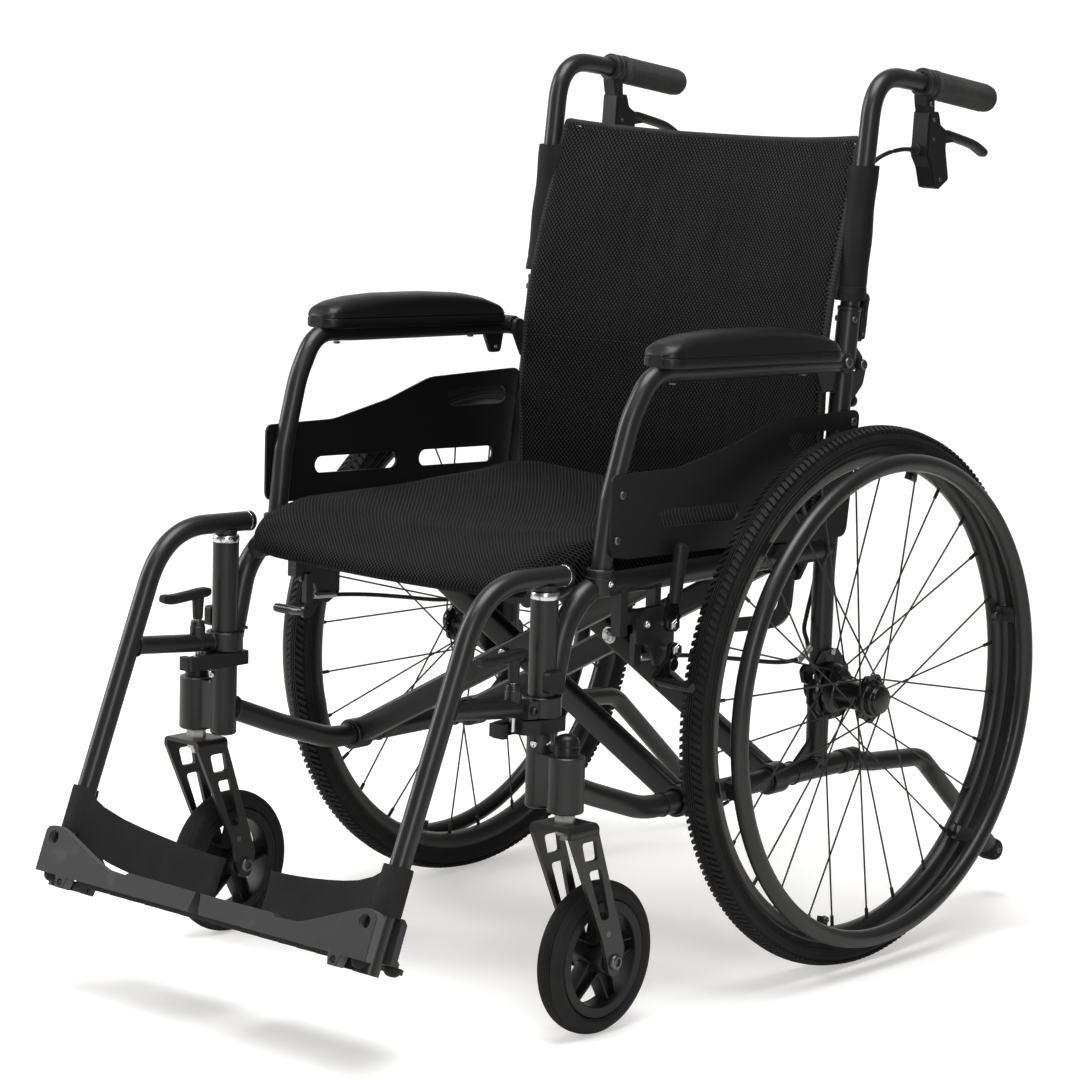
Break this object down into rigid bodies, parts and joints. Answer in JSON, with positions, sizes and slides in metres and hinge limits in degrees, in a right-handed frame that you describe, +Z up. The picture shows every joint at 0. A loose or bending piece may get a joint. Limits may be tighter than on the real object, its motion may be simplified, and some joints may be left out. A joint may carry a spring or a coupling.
{
  "type": "folding manual wheelchair",
  "caption": "Folding manual wheelchair with spoked rear wheels, casters, swing-away leg rests, flip-back armrests and push handles.",
  "frame": {"origin": "centre of the footprint, on the floor", "axes": "+X to the occupant's left, +Y to the rear, +Z up"},
  "size_m": [0.6926, 1.117, 1.0065],
  "materials": {
    "frame_paint": "charcoal black satin powder coat",
    "black_plastic": "satin black moulding",
    "grey_plastic": "textured grey-black moulding",
    "rubber": "matt black rubber",
    "gloss_black": "gloss black paint",
    "mesh_fabric": "black spacer mesh with bound edges",
    "webbing": "black woven webbing"
  },
  "bodies": {
    "left_side": {"left_front_post": "frame_paint", "left_top_rail": "frame_paint", "left_rear_post": "frame_paint", "left_lower_rail": "frame_paint", "left_anti_tipper": "frame_paint", "left_hub_brake": "gloss_black", "left_brake_cable": "rubber", "seat": "mesh_fabric", "backrest": "mesh_fabric"},
    "brace_a": {"brace_a": "frame_paint"},
    "brace_b": {"brace_b": "frame_paint"},
    "right_side": {"right_front_post": "frame_paint", "right_top_rail": "frame_paint", "right_rear_post": "frame_paint", "right_lower_rail": "frame_paint", "right_anti_tipper": "frame_paint", "right_hub_brake": "gloss_black", "right_brake_cable": "rubber"},
    "left_rear_wheel": {"left_tyre": "rubber", "left_wheel": "gloss_black", "left_handrim": "frame_paint"},
    "left_caster_fork": {"left_caster_fork": "frame_paint"},
    "left_caster": {"left_caster_wheel": "black_plastic", "left_caster_tyre": "rubber"},
    "left_hanger": {"left_hanger": "frame_paint", "left_heel_strap": "webbing"},
    "left_hanger_latch": {"left_latch_handle": "black_plastic"},
    "left_footplate": {"left_footplate": "grey_plastic"},
    "left_armrest": {"left_armrest": "frame_paint", "left_arm_pad": "black_plastic", "left_skirt_guard": "black_plastic"},
    "left_wheel_lock_lever": {"left_wheel_lock_lever": "gloss_black"},
    "left_wheel_lock_shoe": {"left_wheel_lock_shoe": "gloss_black"},
    "left_fold_link": {"left_fold_link": "frame_paint"},
    "left_back": {"left_cane": "frame_paint", "left_grip": "rubber", "left_brake_housing": "black_plastic"},
    "left_brake_lever": {"left_brake_lever": "black_plastic"},
    "left_back_lever": {"left_back_fold_lever": "black_plastic"},
    "right_rear_wheel": {"right_tyre": "rubber", "right_wheel": "gloss_black", "right_handrim": "frame_paint"},
    "right_caster_fork": {"right_caster_fork": "frame_paint"},
    "right_caster": {"right_caster_wheel": "black_plastic", "right_caster_tyre": "rubber"},
    "right_hanger": {"right_hanger": "frame_paint", "right_heel_strap": "webbing"},
    "right_hanger_latch": {"right_latch_handle": "black_plastic"},
    "right_footplate": {"right_footplate": "grey_plastic"},
    "right_armrest": {"right_armrest": "frame_paint", "right_arm_pad": "black_plastic", "right_skirt_guard": "black_plastic"},
    "right_wheel_lock_lever": {"right_wheel_lock_lever": "gloss_black"},
    "right_wheel_lock_shoe": {"right_wheel_lock_shoe": "gloss_black"},
    "right_fold_link": {"right_fold_link": "frame_paint"},
    "right_back": {"right_cane": "frame_paint", "right_grip": "rubber", "right_brake_housing": "black_plastic"},
    "right_brake_lever": {"right_brake_lever": "black_plastic"},
    "right_back_lever": {"right_back_fold_lever": "black_plastic"}
  },
  "joints": [
    {"name": "frame_fold", "type": "hinge", "parent": "left_side", "child": "brace_a", "pos_m": [0.235, 0.18, 0.213], "axis": [0, 1, 0], "range_deg": [0, 45], "deforming": ["seat", "backrest"]},
    {"name": "x_pivot", "type": "hinge", "parent": "brace_a", "child": "brace_b", "pos_m": [0, 0.18, 0.342], "axis": [0, 1, 0], "range_deg": [-90, 0]},
    {"name": "right_side_fold", "type": "hinge", "parent": "brace_b", "child": "right_side", "pos_m": [-0.235, 0.18, 0.213], "axis": [0, 1, 0], "range_deg": [0, 45]},
    {"name": "left_link_fold", "type": "hinge", "parent": "left_side", "child": "left_fold_link", "pos_m": [0.218, 0.18, 0.44], "axis": [0, 1, 0], "range_deg": [0, 100]},
    {"name": "left_wheel_spin", "type": "hinge", "parent": "left_side", "child": "left_rear_wheel", "pos_m": [0.2951, 0.18, 0.305], "axis": [1, 0, 0], "continuous": true},
    {"name": "left_caster_swivel", "type": "hinge", "parent": "left_side", "child": "left_caster_fork", "pos_m": [0.2745, -0.294, 0.2335], "axis": [0, 0, 1], "continuous": true},
    {"name": "left_caster_spin", "type": "hinge", "parent": "left_caster_fork", "child": "left_caster", "pos_m": [0.2745, -0.24, 0.0813], "axis": [1, 0, 0], "continuous": true},
    {"name": "left_hanger_swing", "type": "hinge", "parent": "left_side", "child": "left_hanger", "pos_m": [0.235, -0.29, 0.348], "axis": [0, 0, 1], "range_deg": [0, 90]},
    {"name": "left_hanger_release", "type": "slide", "parent": "left_hanger", "child": "left_hanger_latch", "axis": [0, 0, 1], "range_m": [0, 0.012], "stiffness_N_per_m": 300, "springref_m": -0.004},
    {"name": "left_footplate_flip", "type": "hinge", "parent": "left_hanger", "child": "left_footplate", "pos_m": [0.2035, -0.53243, 0.11529], "axis": [0, 0.9348, -0.3551], "range_deg": [0, 86], "deforming": ["left_heel_strap"]},
    {"name": "left_armrest_flip", "type": "hinge", "parent": "left_side", "child": "left_armrest", "pos_m": [0.247, 0.182, 0.675], "axis": [-1, 0, 0], "range_deg": [0, 70]},
    {"name": "left_wheel_lock", "type": "hinge", "parent": "left_side", "child": "left_wheel_lock_lever", "pos_m": [0.2615, -0.116, 0.4162], "axis": [1, 0, 0], "range_deg": [0, 30]},
    {"name": "left_lock_shoe", "type": "hinge", "parent": "left_side", "child": "left_wheel_lock_shoe", "pos_m": [0.2612, -0.111, 0.389], "axis": [1, 0, 0], "range_deg": [0, 15]},
    {"name": "left_back_fold", "type": "hinge", "parent": "left_side", "child": "left_back", "pos_m": [0.231, 0.232, 0.668], "axis": [-1, 0, 0], "range_deg": [0, 90], "deforming": ["left_brake_cable"]},
    {"name": "left_back_release", "type": "hinge", "parent": "left_back", "child": "left_back_lever", "pos_m": [0.231, 0.236, 0.702], "axis": [-1, 0, 0], "range_deg": [0, 20], "stiffness_Nm_per_rad": 1, "springref_deg": -5.73},
    {"name": "left_hand_brake", "type": "hinge", "parent": "left_back", "child": "left_brake_lever", "pos_m": [0.231, 0.352, 0.918], "axis": [1, 0, 0], "range_deg": [0, 12], "stiffness_Nm_per_rad": 2, "springref_deg": -5.73},
    {"name": "right_link_fold", "type": "hinge", "parent": "right_side", "child": "right_fold_link", "pos_m": [-0.218, 0.18, 0.44], "axis": [0, 1, 0], "range_deg": [-100, 0]},
    {"name": "right_wheel_spin", "type": "hinge", "parent": "right_side", "child": "right_rear_wheel", "pos_m": [-0.2951, 0.18, 0.305], "axis": [1, 0, 0], "continuous": true},
    {"name": "right_caster_swivel", "type": "hinge", "parent": "right_side", "child": "right_caster_fork", "pos_m": [-0.2745, -0.294, 0.2335], "axis": [0, 0, 1], "continuous": true},
    {"name": "right_caster_spin", "type": "hinge", "parent": "right_caster_fork", "child": "right_caster", "pos_m": [-0.2745, -0.24, 0.0813], "axis": [1, 0, 0], "continuous": true},
    {"name": "right_hanger_swing", "type": "hinge", "parent": "right_side", "child": "right_hanger", "pos_m": [-0.235, -0.29, 0.348], "axis": [0, 0, -1], "range_deg": [0, 90]},
    {"name": "right_hanger_release", "type": "slide", "parent": "right_hanger", "child": "right_hanger_latch", "axis": [0, 0, 1], "range_m": [0, 0.012], "stiffness_N_per_m": 300, "springref_m": -0.004},
    {"name": "right_footplate_flip", "type": "hinge", "parent": "right_hanger", "child": "right_footplate", "pos_m": [-0.2035, -0.53243, 0.11529], "axis": [0, -0.9348, 0.3551], "range_deg": [0, 86], "deforming": ["right_heel_strap"]},
    {"name": "right_armrest_flip", "type": "hinge", "parent": "right_side", "child": "right_armrest", "pos_m": [-0.247, 0.182, 0.675], "axis": [-1, 0, 0], "range_deg": [0, 70]},
    {"name": "right_wheel_lock", "type": "hinge", "parent": "right_side", "child": "right_wheel_lock_lever", "pos_m": [-0.2615, -0.116, 0.4162], "axis": [1, 0, 0], "range_deg": [0, 30]},
    {"name": "right_lock_shoe", "type": "hinge", "parent": "right_side", "child": "right_wheel_lock_shoe", "pos_m": [-0.2612, -0.111, 0.389], "axis": [1, 0, 0], "range_deg": [0, 15]},
    {"name": "right_back_fold", "type": "hinge", "parent": "right_side", "child": "right_back", "pos_m": [-0.231, 0.232, 0.668], "axis": [-1, 0, 0], "range_deg": [0, 90], "deforming": ["right_brake_cable"]},
    {"name": "right_back_release", "type": "hinge", "parent": "right_back", "child": "right_back_lever", "pos_m": [-0.231, 0.236, 0.702], "axis": [-1, 0, 0], "range_deg": [0, 20], "stiffness_Nm_per_rad": 1, "springref_deg": -5.73},
    {"name": "right_hand_brake", "type": "hinge", "parent": "right_back", "child": "right_brake_lever", "pos_m": [-0.231, 0.352, 0.918], "axis": [1, 0, 0], "range_deg": [0, 12], "stiffness_Nm_per_rad": 2, "springref_deg": -5.73}
  ],
  "couplings": [
    {"joint": "x_pivot", "follows": "frame_fold", "ratio": -2},
    {"joint": "right_side_fold", "follows": "frame_fold", "ratio": 1},
    {"joint": "left_link_fold", "follows": "frame_fold", "ratio": 2.19},
    {"joint": "left_footplate_flip", "follows": "frame_fold", "ratio": 1.9},
    {"joint": "left_lock_shoe", "follows": "left_wheel_lock", "ratio": 0.5},
    {"joint": "right_link_fold", "follows": "frame_fold", "ratio": -2.19},
    {"joint": "right_footplate_flip", "follows": "frame_fold", "ratio": 1.9},
    {"joint": "right_lock_shoe", "follows": "right_wheel_lock", "ratio": 0.5},
    {"joint": "right_back_fold", "follows": "left_back_fold", "ratio": 1}
  ]
}
